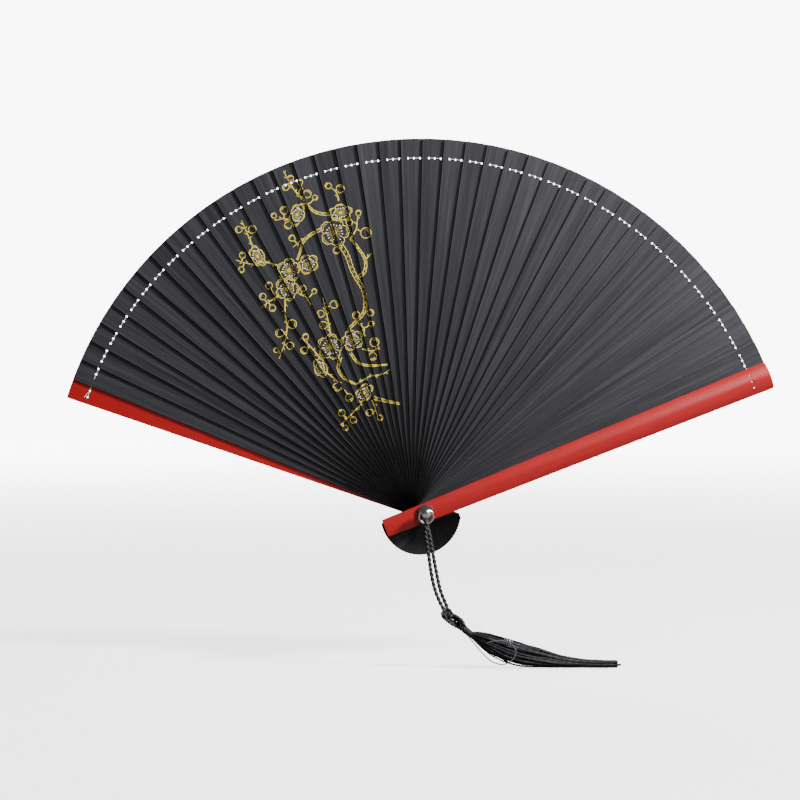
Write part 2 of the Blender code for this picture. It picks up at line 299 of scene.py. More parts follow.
WOOD = black_wood()
RED = red_lacquer()
NICKEL = nickel()
FIBRE = black_fibre()
THREAD = white_thread()
SILK = black_silk((0.004, 0.0043, 0.005), (0.032, 0.033, 0.037))
# a lighter copy of the silk for the loose strand: painted highlight where it catches the light
LIT_SILK = black_silk((0.040, 0.042, 0.047), (0.085, 0.088, 0.097))
GOLD = foil("gold_print", (0.58, 0.41, 0.025), (0.98, 0.78, 0.08), 0.05)
SILVER = foil("silver_print", (0.80, 0.80, 0.84), (0.95, 0.95, 0.98), 0.0)


# ---- Mesh helpers ----
END_SHARE = 0.86                    # a stick's end arc stops short of its corners' arcs


def placed(name, data):
    """A new object in the scene."""
    thing = bpy.data.objects.new(name, data)
    bpy.context.scene.collection.objects.link(thing)
    return thing


def add_piece(name, mesh, material, body=None, matrix=None):
    """A piece with its material, which rides on a body where one is given."""
    piece = placed(name, mesh)
    if not mesh.materials:
        mesh.materials.append(material)
    if matrix is not None:
        piece.matrix_world = matrix
    if body is not None:
        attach(piece, body)
    return piece


def baked(holder):
    """The evaluated mesh of an object, which is then removed."""
    bpy.context.view_layer.update()
    mesh = bpy.data.meshes.new_from_object(
        holder.evaluated_get(bpy.context.evaluated_depsgraph_get()))
    bpy.data.objects.remove(holder)
    return mesh


def arc(centre_x, centre_y, radius, start, end, steps):
    points = []
    for i in range(steps + 1):
        angle = math.radians(start + (end - start) * i / steps)
        points.append((centre_x + radius * math.cos(angle), centre_y + radius * math.sin(angle)))
    return points


def circle(centre_x, centre_y, radius, sides):
    return arc(centre_x, centre_y, radius, 0, 360 - 360 / sides, sides - 1)


def stick_outline(outer_width, tail, round_tail):
    """Outline of a stick along +X, as in the CAD model but with finer curves."""
    corner_x = REACH - CORNER
    half = half_width(corner_x, outer_width, tail)
    spread = math.degrees(math.asin((half - CORNER) / corner_x)) * END_SHARE
    lower = arc(corner_x - 0.1 * MM, -(half - CORNER), CORNER, -90, -4, 6)
    end = arc(0, 0, REACH, -spread, spread, 6)
    upper = [(x, -y) for x, y in reversed(lower)]
    half_tail = TAIL_WIDTH / 2
    if round_tail:
        spread = math.degrees(math.asin(half_tail / tail))
        inner = arc(0, 0, tail, 180 - spread, 180 + spread, 6)
    else:
        x, y = TAIL_CORNER - tail, half_tail - TAIL_CORNER
        inner = arc(x, y, TAIL_CORNER, 90, 180, 4) + arc(x, -y, TAIL_CORNER, 180, 270, 4)
    return lower + end + upper + inner


def stick_solid(name, outline, thickness, spacing):
    """A flat stick with its holes."""
    curve = bpy.data.curves.new(name, "CURVE")
    curve.dimensions = "2D"
    curve.fill_mode = "BOTH"
    curve.extrude = thickness / 2
    loops = [outline, circle(0, 0, PIVOT_HOLE_R, 20)]
    loops += [circle(STITCH_RADIUS, side * spacing, STITCH_HOLE_R, 16) for side in (-1, 0, 1)]
    for points in loops:
        spline = curve.splines.new("POLY")
        spline.points.add(len(points) - 1)
        for corner, (x, y) in zip(spline.points, points):
            corner.co = (x, y, 0, 1)
        spline.use_cyclic_u = True
    mesh = baked(placed(name, curve))
    shape = bmesh.new()
    shape.from_mesh(mesh)
    bmesh.ops.remove_doubles(shape, verts=shape.verts, dist=1e-6)
    bmesh.ops.recalc_face_normals(shape, faces=shape.faces)
    bmesh.ops.dissolve_limit(shape, angle_limit=math.radians(1), verts=shape.verts,
                             edges=shape.edges)
    shape.to_mesh(mesh)
    shape.free()
    return mesh


def with_bevel(mesh, width, segments, angle):
    """The mesh with rounded edges; its large faces keep their own flat shading."""
    mesh.shade_smooth()
    holder = placed("bevelled", mesh)
    bevel = holder.modifiers.new("edges", "BEVEL")
    bevel.width = width
    bevel.segments = segments
    bevel.limit_method = "ANGLE"
    bevel.angle_limit = math.radians(angle)
    holder.modifiers.new("flat_faces", "WEIGHTED_NORMAL")
    result = baked(holder)
    result.materials.clear()
    return result


def stick_angle(index):
    """Direction of a stick in radians, as in the CAD model."""
    if index == 0:
        return math.radians(FRONT_GUARD_ANGLE)
    if index > RIBS:
        return math.radians(BACK_GUARD_ANGLE)
    angle = RIB_START + RIB_STEP * index
    for waves, size, phase in UNEVENNESS:
        angle += size * math.sin(math.radians(360 * waves * index / (RIBS + 1) + phase))
    return math.radians(angle)


def stick_matrix(index, y):
    """Places a stick's mesh, which lies along +X, in the fan."""
    turn = Matrix.Rotation(-stick_angle(index), 4, "Y") @ FACE_FRONT
    return Matrix.Translation((0, y, 0)) @ turn


def on_stick(index, along, across, y):
    """A point on a stick; across is positive to the left."""
    angle = stick_angle(index)
    outwards = Vector((math.cos(angle), 0, math.sin(angle)))
    leftwards = Vector((-math.sin(angle), 0, math.cos(angle)))
    return outwards * along + leftwards * across + Vector((0, y, 0))


# ---- Ribs and guards ----
RIB_EDGE = 0.09 * MM                # width of the rounded edges
GUARD_EDGE = 0.28 * MM
rib_outline = stick_outline(RIB_WIDTH, RIB_TAIL, True)
rib_mesh = with_bevel(stick_solid("rib", rib_outline, RIB_THICKNESS, RIB_STITCH_SPACING),
                      RIB_EDGE, segments=2, angle=60)
for number in range(1, RIBS + 1):
    rib = add_piece(f"stick_{number:02d}", rib_mesh, WOOD, body_name(number),
                    stick_matrix(number, layer_y(number)))
    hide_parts(f"rib_{number:02d}")

guard_outline = stick_outline(GUARD_WIDTH, GUARD_TAIL, False)
guard_flat = stick_solid("guard", guard_outline, GUARD_THICKNESS, GUARD_STITCH_SPACING)
guard_flat.transform(Matrix.Translation((0, 0, GUARD_THICKNESS / 2)))
bpy.ops.mesh.primitive_cylinder_add(
    vertices=180, radius=CROWN_RADIUS, depth=2.2 * (REACH + GUARD_TAIL),
    location=(0, 0, GUARD_THICKNESS - CROWN_RADIUS), rotation=(0, math.radians(90), 0))
crown = bpy.context.object
crown.name = "crown_cutter"
uncut = placed("guard_uncut", guard_flat)
cut = uncut.modifiers.new("crown", "BOOLEAN")
cut.operation = "INTERSECT"
cut.object = crown
guard_mesh = baked(uncut)
bpy.data.objects.remove(crown)
guard_mesh = with_bevel(guard_mesh, GUARD_EDGE, segments=3, angle=32)
guard_mesh.name = "guard"
guard_mesh.materials.append(RED)
guard_mesh.materials.append(WOOD)
for face in guard_mesh.polygons:
    off = min(math.hypot(face.center.x - STITCH_RADIUS,
                         face.center.y - side * GUARD_STITCH_SPACING) for side in (-1, 0, 1))
    if off < STITCH_HOLE_R * 1.02 and abs(face.normal.z) < 0.3:
        face.material_index = 1         # dark wood inside the holes: painted shade on their walls

front = add_piece("guard_front_skin", guard_mesh, RED, ROOT, stick_matrix(0, -GUARD_INNER_Y))
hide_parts("guard_front")
turn_over = Matrix.Rotation(math.radians(180), 4, "X")
back = add_piece("guard_back_skin", guard_mesh, RED, body_name(RIBS + 1),
                 stick_matrix(RIBS + 1, GUARD_INNER_Y) @ turn_over)
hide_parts("guard_back")


# ---- Swept tubes for threads and cords ----
PLY_OFFSET = 0.40                   # of a cord's radius, from its middle to a ply's


def smooth_route(points, spacing):
    """Points about spacing apart on a smooth curve through the given points."""
    padded = [2 * points[0] - points[1], *points, 2 * points[-1] - points[-2]]
    result = [points[0]]
    for i in range(1, len(padded) - 2):
        a, b, c, d = padded[i - 1:i + 3]
        steps = max(1, round((c - b).length / spacing))
        for step in range(1, steps + 1):
            t = step / steps
            result.append(0.5 * (2 * b + (c - a) * t + (2 * a - 5 * b + 4 * c - d) * t * t
                                 + (3 * b - a - 3 * c + d) * t * t * t))
    return result


def evenly(points, spacing):
    """The same line with its points an equal distance apart."""
    lengths = [0.0]
    for a, b in zip(points, points[1:]):
        lengths.append(lengths[-1] + (b - a).length)
    count = max(2, round(lengths[-1] / spacing))
    result, segment = [], 0
    for i in range(count + 1):
        wanted = lengths[-1] * i / count
        while segment < len(points) - 2 and lengths[segment + 1] < wanted:
            segment += 1
        span = lengths[segment + 1] - lengths[segment]
        share = (wanted - lengths[segment]) / span if span else 0.0
        result.append(points[segment].lerp(points[segment + 1], min(1.0, share)))
    return result


def frames(points):
    """A normal and a binormal at each point that don't twist along the line."""
    result = []
    normal = None
    for i in range(len(points)):
        ahead = points[min(i + 1, len(points) - 1)] - points[max(i - 1, 0)]
        ahead.normalize()
        if normal is None:
            normal = ahead.orthogonal()
        normal = (normal - ahead * normal.dot(ahead)).normalized()
        result.append((normal, ahead.cross(normal)))
    return result


def sweep(shape, points, radius, sides):
    """Adds a capped tube through points to a bmesh; radius may be a list."""
    rings = []
    for i, (point, (normal, binormal)) in enumerate(zip(points, frames(points))):
        size = radius[i] if isinstance(radius, list) else radius
        ring = []
        for side in range(sides):
            angle = TURN * side / sides
            ring.append(shape.verts.new(
                point + (normal * math.cos(angle) + binormal * math.sin(angle)) * size))
        rings.append(ring)
    for a, b in zip(rings, rings[1:]):
        for side in range(sides):
            after = (side + 1) % sides
            shape.faces.new((a[side], a[after], b[after], b[side]))
    shape.faces.new(list(reversed(rings[0])))
    shape.faces.new(rings[-1])


def ply(points, offset, lay, phase):
    """A helix round a line: one strand of a twisted cord."""
    result, travelled = [], 0.0
    for i, (point, (normal, binormal)) in enumerate(zip(points, frames(points))):
        if i:
            travelled += (point - points[i - 1]).length
        angle = phase - TURN * travelled / lay
        result.append(point + (normal * math.cos(angle) + binormal * math.sin(angle)) * offset)
    return result


def twisted(shape, points, radius, lay, sides=8, steps=12):
    """Adds a cord of two plies and the given outer radius to a bmesh."""
    line = evenly(points, lay / steps)
    offset = radius * PLY_OFFSET
    for phase in (0, math.pi):
        sweep(shape, ply(line, offset, lay, phase), radius - offset, sides)


def finish_mesh(shape, name):
    bmesh.ops.recalc_face_normals(shape, faces=shape.faces)
    mesh = bpy.data.meshes.new(name)
    shape.to_mesh(mesh)
    shape.free()
    mesh.shade_smooth()
    mesh.set_sharp_from_angle(angle=math.radians(70))
    return mesh


# ---- Binding thread: one piece for each stick ----
THREAD_R = 0.125 * MM
THREAD_SIDES = 8
LEAN = 0.3 * MM                     # the thread's lean inside a rib's hole
GUARD_LEAN = 0.1 * MM
FRONT_DEPTH = 1.6 * MM              # how far the thread is seen to go into each guard
BACK_DEPTH = 1.4 * MM
LOOSE_END = [(-1.3, 0, -1.2), (-2.7, 0, -2.9)]


def left_hole(index):
    return RIB_STITCH_SPACING if 1 <= index <= RIBS else GUARD_STITCH_SPACING


def thread_route(index):
    """From the left hole of the stick in front to the left hole of this stick."""
    gap_y = layer_y(index) - PITCH / 2
    hole = left_hole(index)
    route = [(index - 1, left_hole(index - 1) + LEAN, gap_y), (index, -hole, gap_y),
             (index, 0, gap_y), (index, hole - LEAN, gap_y)]
    if index == 1:
        route.insert(0, (0, left_hole(0) - GUARD_LEAN, -GUARD_INNER_Y - FRONT_DEPTH))
    if index <= RIBS:
        route.append((index, hole + LEAN, gap_y + PITCH))
    else:
        route.append((index, hole + GUARD_LEAN, GUARD_INNER_Y + BACK_DEPTH))
    return [on_stick(stick, STITCH_RADIUS, across, y) for stick, across, y in route]


def ease_inverse(value):
    """The t for which t * t * (3 - 2 t) is value."""
    return 0.5 - math.sin(math.asin(1 - 2 * value) / 3)


for index in range(1, RIBS + 2):
    shape = bmesh.new()
    sweep(shape, evenly(thread_route(index), 0.35 * MM), THREAD_R, THREAD_SIDES)
    if index == RIBS + 1:
        tail_start = on_stick(index, STITCH_RADIUS, 0.3 * MM, GUARD_INNER_Y - 0.15 * MM)
        tail = [tail_start] + [tail_start + Vector(step) * MM for step in LOOSE_END]
        sweep(shape, smooth_route(tail, 0.3 * MM), THREAD_R, THREAD_SIDES)
    piece = add_piece(f"thread_{index:02d}", finish_mesh(shape, f"thread_{index:02d}"), THREAD)
    far = on_stick(index, STITCH_RADIUS, -left_hole(index), 0)
    near = on_stick(index - 1, STITCH_RADIUS, left_hole(index - 1), 0)
    opened = stick_angle(index) - stick_angle(0)
    share = ease_inverse((stick_angle(index - 1) - stick_angle(0)) / opened)
    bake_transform(piece)
    if index == 1:
        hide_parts("binding_thread")


# ---- Rivet, washer, burr and ring ----
def turned(name, profile, material, y, node):
    """A turned piece on the rivet's axis; profile is (radius, distance to the front)."""
    mesh = bpy.data.meshes.new(name)
    mesh.from_pydata([(r, 0, z) for r, z in profile],
                     [(i, i + 1) for i in range(len(profile) - 1)], [])
    holder = placed(name, mesh)
    screw = holder.modifiers.new("turn", "SCREW")
    screw.axis = "Z"
    screw.steps = 64
    screw.render_steps = 64
    screw.use_merge_vertices = True
    screw.merge_threshold = 0.00001
    solid = baked(holder)
    solid.shade_smooth()
    solid.set_sharp_from_angle(angle=math.radians(40))
    piece = add_piece(f"{name}_skin", solid, material, ROOT,
                      Matrix.Translation((0, y, 0)) @ FACE_FRONT)
    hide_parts(node)


rivet_low, rivet_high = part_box("pivot_rivet")
washer_low, washer_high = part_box("washer_front")
burr_low, burr_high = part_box("rivet_burr")
ring_low, ring_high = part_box("pivot_ring")
HEAD_R = rivet_high[0]
SHANK_R = 1.2 * MM
HEAD_HEIGHT = 1.5 * MM
HEAD_RIM = 0.25 * MM                # the straight rim under the dome
HEAD_UNDERCUT = 0.15 * MM
head_top = -rivet_low[1]
head_under = head_top - HEAD_HEIGHT
dome = [(HEAD_R * math.sin(math.radians(a)),
         head_under + HEAD_RIM + (HEAD_HEIGHT - HEAD_RIM) * math.cos(math.radians(a)))
        for a in range(0, 91, 6)]
dome[0] = (0, head_top)
turned("rivet", dome + [(HEAD_R - HEAD_UNDERCUT, head_under), (SHANK_R, head_under),
                        (SHANK_R, -rivet_high[1]), (0, -rivet_high[1])], NICKEL, 0, "pivot_rivet")

WASHER_R = washer_high[0]
WASHER_EDGE = 0.2 * MM
washer_depth = washer_high[1] - washer_low[1]
washer_rim = arc(WASHER_R - WASHER_EDGE, washer_depth - WASHER_EDGE, WASHER_EDGE, 90, 0, 5)
turned("washer", [(PIVOT_HOLE_R, 0), (PIVOT_HOLE_R, washer_depth), *washer_rim, (WASHER_R, 0),
                  (PIVOT_HOLE_R, 0)], FIBRE, washer_high[1], "washer_front")

BURR_R = burr_high[0]
BURR_SLOPE = 0.5 * MM               # how far the burr's rim draws in towards the back
burr_depth = burr_high[1] - burr_low[1]
burr_rim = [(BURR_R - BURR_SLOPE * math.sin(math.radians(a)) ** 2,
             -burr_depth * math.sin(math.radians(a))) for a in range(0, 91, 15)]
turned("burr", [(PIVOT_HOLE_R, -burr_depth), (PIVOT_HOLE_R, 0), *burr_rim,
                (PIVOT_HOLE_R, -burr_depth)], NICKEL, burr_low[1], "rivet_burr")

RING_WIRE_R = (ring_high[1] - ring_low[1]) / 2
RING_R = (ring_high[0] - ring_low[0]) / 2 - RING_WIRE_R
ring_centre = Vector([(a + b) / 2 for a, b in zip(ring_low, ring_high)])
bpy.ops.mesh.primitive_torus_add(major_radius=RING_R, minor_radius=RING_WIRE_R,
                                 major_segments=72, minor_segments=20)
torus = bpy.context.object
ring_mesh = torus.data
bpy.data.objects.remove(torus)
ring_mesh.shade_smooth()
ring = add_piece("ring_skin", ring_mesh, NICKEL, ROOT,
                 Matrix.Translation(ring_centre) @ FACE_FRONT)
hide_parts("pivot_ring")


# ---- Tassel ----
CORD_R = 0.85 * MM
FULL_CORD_R = 1.02 * MM             # over the tops of its two plies
CORD_LAY = 5.0 * MM                 # length of one twist
GAP = 0.3 * MM
FRONT_LEG_ROUTE = [(-0.4, -24.2, -9.5), (0.6, -23.9, -16.0), (2.2, -23.6, -28.0),
                   (4.3, -24.1, -38.0), (7.6, -25.6, -46.0)]
BACK_LEG_ROUTE = [(1.5, -22.2, -9.5), (2.7, -22.6, -16.0), (4.8, -23.2, -28.0),
                  (6.9, -24.4, -38.0), (9.8, -25.2, -45.6)]
KNOT_CENTRE = Vector((13.6, -26.0, -52.9)) * MM
TASSEL_DIRECTION = Vector((12.0, -0.9, -10.4)).normalized()
SKIRT_ROUTE = [(26.3, -28.0, -62.3), (31.2, -28.6, -64.6), (36.2, -29.2, -66.7),
               (41.1, -29.8, -68.3), (46.0, -30.3, -69.6), (50.9, -30.8, -70.6),
               (55.9, -31.2, -71.4), (65.8, -32.0, -73.1), (75.7, -32.8, -74.0),
               (85.5, -33.8, -74.3), (94.8, -34.6, -74.4)]
SKIRT_RADII = [1.6, 4.0, 5.7, 6.4, 6.6, 6.5, 5.8, 5.1, 3.4, 2.5, 2.3, 2.2]
LOOSE_STRAND_ROUTE = [(20.3, -30.5, -60.5), (25.5, -34.0, -67.0), (30.1, -37.0, -71.5),
                      (33.4, -38.3, -73.0), (36.3, -38.6, -73.4), (39.3, -38.6, -72.5),
                      (41.6, -38.4, -70.5), (42.8, -38.0, -67.9), (42.2, -37.6, -65.4),
                      (40.0, -37.2, -63.3), (36.1, -36.8, -62.1), (32.2, -36.2, -62.3),
                      (28.8, -35.4, -63.3)]
SKIRT_END = (98.0, -34.9, -74.5)
KNOT_LENGTH = 15.2 * MM
KNOT_LAY = 4.4 * MM
# The knot's ovals, in millimetres and radians: place along the tassel, half length, half
# breadth, lean, depth and lift towards the viewer.
LOOPS = [(-4.6, 2.3, 2.3, 0.5, 0.4, 0.6), (0.2, 5.6, 2.2, 0.12, 0.7, 1.0),
         (0.8, 5.4, 1.2, -0.10, 0.8, 0.0), (-0.6, 5.8, 2.0, 0.26, 0.6, -1.4),
         (0.2, 5.0, 0.7, 0.20, 0.6, -0.9)]
# The turns round its ends: start and end along the tassel, radius and number of turns.
BINDINGS = [(3.6, 7.4, 1.5, 2.6), (-4.4, -2.4, 2.0, 1.3)]
NECK_LENGTH = 3.0 * MM
NECK_R = 1.9 * MM
NECK_CORE_R = 1.4 * MM
NECK_THREAD_R = 0.3 * MM
NECK_WRAPS = 7
THREADS = 78
YARN_R = 0.42 * MM
YARN_LAY = 2.6 * MM
STRAND_R = 0.36 * MM
STRAND_LAY = 2.4 * MM
GOLDEN_ANGLE = 2.39996
FLOOR_Z = cad_box[0][2]


def in_metres(points):
    return [Vector(point) * MM for point in points]


def over_ring(side):
    """The cord's bend over the ring, from its top to the front (-1) or to the back."""
    bend = RING_WIRE_R + GAP + CORD_R
    foot = ring_low[2] + RING_WIRE_R
    return [Vector((side * 0.1 * MM, ring_centre[1] + side * bend * math.sin(math.radians(a)),
                    foot + bend * math.cos(math.radians(a)))) for a in (12, 45, 80)]


def tassel_piece(name, shape, node=None, material=SILK):
    piece = add_piece(name, finish_mesh(shape, name), material, ROOT)
    if node:
        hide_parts(node)
    return piece


into_knot = KNOT_CENTRE - TASSEL_DIRECTION * (KNOT_LENGTH / 2 - 3.0 * MM)
beside_it = into_knot + Vector((1.2, 0.9, 0)) * MM
legs = {"front": over_ring(-1) + in_metres(FRONT_LEG_ROUTE) + [into_knot],
        "back": over_ring(1) + in_metres(BACK_LEG_ROUTE) + [beside_it]}
for name, points in legs.items():
    line = smooth_route(points, 0.8 * MM)
    shape = bmesh.new()
    twisted(shape, line, FULL_CORD_R, CORD_LAY, sides=10, steps=16)
    leg = tassel_piece(f"cord_{name}", shape, f"tassel_cord_{name}")

# The knot: a small round lobe, long loops of the cord and a few turns round each end.
across = TASSEL_DIRECTION.cross(Vector((0, 1, 0))).normalized()
towards_viewer = TASSEL_DIRECTION.cross(across).normalized()
if towards_viewer.y > 0:
    towards_viewer.negate()


def in_knot(along, sideways, forward):
    """A point in the knot, in millimetres from its middle."""
    return (KNOT_CENTRE + TASSEL_DIRECTION * along * MM + across * sideways * MM
            + towards_viewer * forward * MM)


def loop(centre, half_length, half_breadth, lean, depth, lift):
    """A leaning oval that rises and dips towards the viewer as it goes round."""
    points = []
    for i in range(37):
        t = TURN * i / 36
        a = half_length * math.cos(t)
        s = half_breadth * math.sin(t)
        points.append(in_knot(centre + a * math.cos(lean) - s * math.sin(lean),
                              a * math.sin(lean) + s * math.cos(lean),
                              lift + depth * math.sin(2 * t + lean)))
    return points


shape = bmesh.new()
for oval in LOOPS:
    twisted(shape, loop(*oval), CORD_R, KNOT_LAY)
for start, end, radius, turns in BINDINGS:
    points = []
    for i in range(int(turns * 16) + 1):
        t = TURN * i / 16
        share = i / (turns * 16)
        size = radius * (1 - 0.15 * share if start > 0 else 0.85 + 0.15 * share)
        points.append(in_knot(start + (end - start) * share, size * math.cos(t),
                              size * math.sin(t)))
    twisted(shape, points, CORD_R * 0.95, KNOT_LAY)
knot = tassel_piece("knot", shape, "tassel_knot")

# The neck: a fine thread wound tightly round the bundle.
neck_start = KNOT_CENTRE + TASSEL_DIRECTION * (KNOT_LENGTH / 2 + GAP)
neck_end = neck_start + TASSEL_DIRECTION * NECK_LENGTH
shape = bmesh.new()
sweep(shape, [neck_start.lerp(neck_end, -0.9), neck_start.lerp(neck_end, 1.4)], NECK_CORE_R, 24)
wound = []
for i in range(NECK_WRAPS * 20 + 1):
    t = TURN * i / 20
    place = neck_start.lerp(neck_end, -0.3 + 1.3 * i / (NECK_WRAPS * 20))
    wound.append(place + (across * math.cos(t) + towards_viewer * math.sin(t))
                 * (NECK_R - 0.35 * MM))
sweep(shape, wound, NECK_THREAD_R, 8)
neck = tassel_piece("neck", shape, "tassel_neck")

# The skirt: twisted threads that leave the neck together and spread along the ground.
skirt_line = evenly(smooth_route([neck_start.lerp(neck_end, 0.6), neck_end]
                                 + in_metres(SKIRT_ROUTE + [SKIRT_END]), 2.0 * MM), 2.0 * MM)
section_x = [neck_end.x] + [p[0] * MM for p in SKIRT_ROUTE]


def skirt_radius(x):
    """The bundle's radius at x, from the radii at the sections."""
    if x <= section_x[0]:
        return NECK_CORE_R
    for i in range(len(section_x) - 1):
        if x <= section_x[i + 1]:
            share = (x - section_x[i]) / (section_x[i + 1] - section_x[i])
            return (SKIRT_RADII[i] * (1 - share) + SKIRT_RADII[i + 1] * share) * MM
    return SKIRT_RADII[-1] * MM


def skirt_thread(number):
    """The line of one thread, which keeps its place in the bundle but wavers a little."""
    distance = math.sqrt((number + 0.5) / THREADS)
    wander = [random.uniform(-1, 1) for _ in range(6)]  # the first three shape the thread
    end = 0.975 - 0.13 * random.random() ** 2
    if number % 13 == 5:
        end += 0.025                    # a few threads stick out of the end
    points = []
    for i in range(int((len(skirt_line) - 1) * end) + 1):
        centre = skirt_line[i]
        room = skirt_radius(centre.x) - YARN_R
        along = i / (len(skirt_line) - 1)
        wobble = (0.16 * math.sin(5 * along + 3 * wander[0])
                  + 0.10 * math.sin(13 * along + 6 * wander[1]))
        turn = number * GOLDEN_ANGLE + 0.8 * along * wander[2]
        reach = min(0.98, max(0.0, distance + wobble * min(1.0, 4 * along)))
        y = centre.y + room * reach * math.cos(turn) * (1.0 + 0.1 * along)
        z = centre.z + room * reach * math.sin(turn)
        points.append(Vector((centre.x, y, max(z, FLOOR_Z + YARN_R))))
    return points


random.seed(7)
core, *others = [skirt_thread(number) for number in range(THREADS)]
shape = bmesh.new()
for points in others:
    twisted(shape, smooth_route(points, 1.0 * MM), YARN_R, YARN_LAY, sides=5, steps=7)
heart = skirt_line[1:int(0.86 * len(skirt_line))]
sweep(shape, heart, [max(0.5 * MM, skirt_radius(p.x) * 0.62) for p in heart], 20)
skirt = tassel_piece("skirt", shape, "tassel_skirt")
shape = bmesh.new()
core_line = smooth_route(core, 1.0 * MM)
twisted(shape, core_line, YARN_R, YARN_LAY, sides=6, steps=8)
skirt_core = tassel_piece("skirt_core", shape)

strand_line = smooth_route(in_metres(LOOSE_STRAND_ROUTE), 0.5 * MM)
shape = bmesh.new()
twisted(shape, strand_line, STRAND_R, STRAND_LAY, sides=6, steps=8)
strand = tassel_piece("loose_strand", shape, "tassel_loose_strand", LIT_SILK)


# ---- Printed plum spray ----
# Drawn in the plane of the fan, in millimetres right of and above the rivet, then cut
# into the part that shows on each rib.
LINE = 0.34
TWIG_WIDTH = 0.60
PETALS = 5
PETAL_STEPS = 16
STAMENS = 17
gold = bmesh.new()
silver = bmesh.new()
stems = []                          # points that the buds' stalks can grow from


def beside(points, i, offset, closed=False):
    """The place at an offset to the left of point i on a line of (x, z) points."""
    if closed:
        before, after = points[i - 1], points[(i + 1) % len(points)]
    else:
        before, after = points[max(0, i - 1)], points[min(len(points) - 1, i + 1)]
    dx, dz = after[0] - before[0], after[1] - before[1]
    size = math.hypot(dx, dz) or 1.0
    return points[i][0] - dz / size * offset, points[i][1] + dx / size * offset


def ribbon(shape, points, width, closed=False):
    """A flat line of the given width through (x, z) points."""
    count = len(points)
    pairs = []
    for i in range(count):
        sides = [beside(points, i, offset, closed) for offset in (width / 2, -width / 2)]
        pairs.append([shape.verts.new((x, 0, z)) for x, z in sides])
    for i in range(count if closed else count - 1):
        after = pairs[(i + 1) % count]
        shape.faces.new((pairs[i][0], pairs[i][1], after[1], after[0]))


def dot(shape, x, z, radius, sides=10):
    shape.faces.new([shape.verts.new((px, 0, pz)) for px, pz in circle(x, z, radius, sides)])


def spline_points(points):
    """A smooth curve through (x, z) points."""
    line = smooth_route([Vector((x, z, 0)) for x, z in points], 1.0)
    return [(p.x, p.y) for p in evenly(line, 0.7)]


def flower(x, z, radius, turn, tilt, tilt_angle):
    """Petals seen from the front, or foreshortened by tilt across tilt_angle."""
    def place(r, a):
        px, pz = r * math.cos(a), r * math.sin(a)
        c, s = math.cos(tilt_angle), math.sin(tilt_angle)
        along, over = px * c + pz * s, (-px * s + pz * c) * tilt
        return (x + along * c - over * s, z + along * s + over * c)

    steps = PETALS * PETAL_STEPS
    half_petal = math.pi / PETALS
    centre, lobe = 0.56, 0.44
    for phase, scale in ((0.0, 1.0), (1.2, 0.86)):
        outline = []
        for i in range(steps):
            a = TURN * i / steps
            phi = (a - turn + half_petal) % (2 * half_petal) - half_petal
            r = centre * math.cos(phi) + math.sqrt(lobe ** 2 - (centre * math.sin(phi)) ** 2)
            r *= 1.0 + 0.025 * math.sin(17 * a + turn + phase)
            outline.append(place(radius * r * scale, a))
        if scale == 1.0:
            ribbon(gold, outline, LINE, closed=True)
        else:
            for petal in range(PETALS):
                start = int(((turn / TURN) % 1) * steps) + petal * PETAL_STEPS - 4
                ribbon(gold, [outline[(start + i) % steps] for i in range(9)], LINE * 0.6)
    for petal in range(PETALS):
        a = turn + (petal + 0.5) * TURN / PETALS
        ribbon(gold, [place(radius * r, a) for r in (0.42, 0.55, 0.72)], LINE * 0.8)
    heart_ring = [place(radius * 0.13, TURN * i / 16) for i in range(16)]
    ribbon(gold, heart_ring, LINE * 0.9, closed=True)
    dot(gold, *place(0, 0), radius * 0.06)
    for i in range(STAMENS):
        a = turn + TURN * (i + 0.3) / STAMENS
        reach = radius * (0.46 + 0.05 * (i % 3))
        ribbon(gold, [place(radius * 0.2, a), place(reach * 0.6, a + 0.03), place(reach, a)],
               LINE * 0.32)
        dot(silver, *place(reach + 0.25, a), 0.30, 8)


def stalk(x, z, radius):
    """A short stalk from a bud to the nearest stem."""
    nearest = min(stems, key=lambda p: math.hypot(p[0] - x, p[1] - z))
    gap = math.hypot(nearest[0] - x, nearest[1] - z)
    if radius < gap < 8.0:
        start = (x + (nearest[0] - x) * radius / gap, z + (nearest[1] - z) * radius / gap)
        middle = ((start[0] + nearest[0]) / 2 + 0.3, (start[1] + nearest[1]) / 2 - 0.3)
        ribbon(gold, [start, middle, nearest], LINE * 1.3)


def bud(x, z, radius, angle):
    """A round bud with its calyx on the side that angle points to."""
    ribbon(gold, circle(x, z, radius, 22), LINE, closed=True)
    crease = [(x + 0.62 * radius * math.cos(angle + math.pi + t),
               z + 0.62 * radius * math.sin(angle + math.pi + t))
              for t in (-0.9, -0.5, 0.0, 0.5, 0.9)]
    ribbon(gold, crease, LINE * 0.8)
    stalk(x, z, radius)
    for spread in (-0.55, 0.0, 0.55):
        dot(gold, x + (radius + 0.12) * math.cos(angle + spread),
            z + (radius + 0.12) * math.sin(angle + spread), 0.34)


def twig(points):
    """A line that thins towards its end, with short spurs on alternate sides."""
    line = spline_points(points)
    stems.extend(line)
    third = len(line) // 3
    ribbon(gold, line[:third + 1], TWIG_WIDTH)
    ribbon(gold, line[third:2 * third + 1], TWIG_WIDTH * 0.75)
    ribbon(gold, line[2 * third:], TWIG_WIDTH * 0.5)
    for i in range(3, len(line) - 2, 4):
        dx, dz = line[i + 1][0] - line[i - 1][0], line[i + 1][1] - line[i - 1][1]
        side = 1 if i % 8 < 4 else -1
        x, z = line[i]
        ribbon(gold, [(x, z), (x + dx * 0.4 - side * dz * 0.5, z + dz * 0.4 + side * dx * 0.5),
                      (x + dx * 0.9 - side * dz * 0.8, z + dz * 0.9 + side * dx * 0.8)],
               LINE * 0.9)


